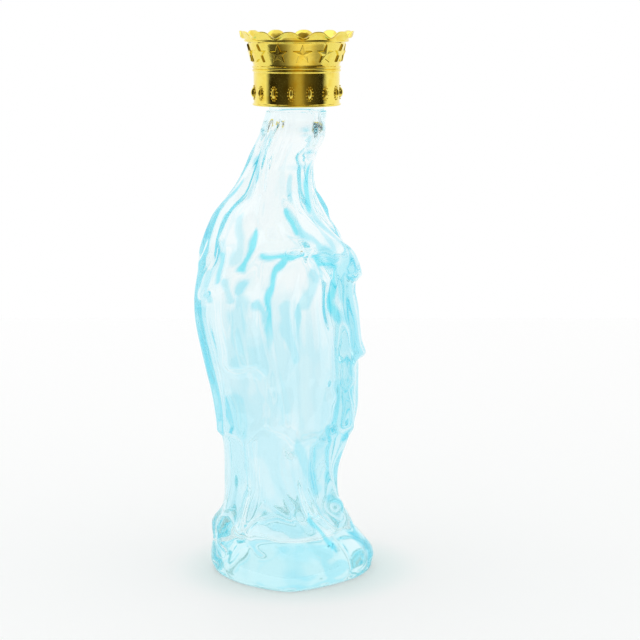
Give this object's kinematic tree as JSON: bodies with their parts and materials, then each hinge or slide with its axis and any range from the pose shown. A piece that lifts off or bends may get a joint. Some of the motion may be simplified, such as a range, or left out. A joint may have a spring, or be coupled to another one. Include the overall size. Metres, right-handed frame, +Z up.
{
  "type": "holy water bottle",
  "caption": "Hollow glass bottle shaped as a standing veiled figure on a rocky base, closed by a lined screw cap under a gilt crown; holds and pours blessed water.",
  "frame": {"origin": "point where the neck's axis meets the table that the base stands on", "axes": "+Z up along the neck's axis, -Y out of the figure's front, -X to the figure's right hand"},
  "size_m": [0.0492, 0.0497, 0.154],
  "materials": {
    "blue_glass": "clear pale aqua glass, fire-polished",
    "crown_gold": "vacuum-metallised bright gold",
    "cap_white": "natural moulded polypropylene",
    "wad_foam": "foamed polyethylene disc"
  },
  "bodies": {
    "bottle": {"glass_bottle": "blue_glass"},
    "seal": {"sealing_wad": "wad_foam"},
    "cap": {"screw_cap": "cap_white", "crown_shell": "crown_gold"}
  },
  "joints": [
    {"name": "seal_lift", "type": "slide", "parent": "bottle", "child": "seal", "axis": [0, 0, 1], "range_m": [0, 0.01281]},
    {"name": "cap_turn", "type": "hinge", "parent": "seal", "child": "cap", "pos_m": [0, 0, 0.1435], "axis": [0, 0, 1], "range_deg": [0, 1440]}
  ],
  "couplings": [
    {"joint": "seal_lift", "follows": "cap_turn", "m_per_rad": 0.0005093}
  ]
}
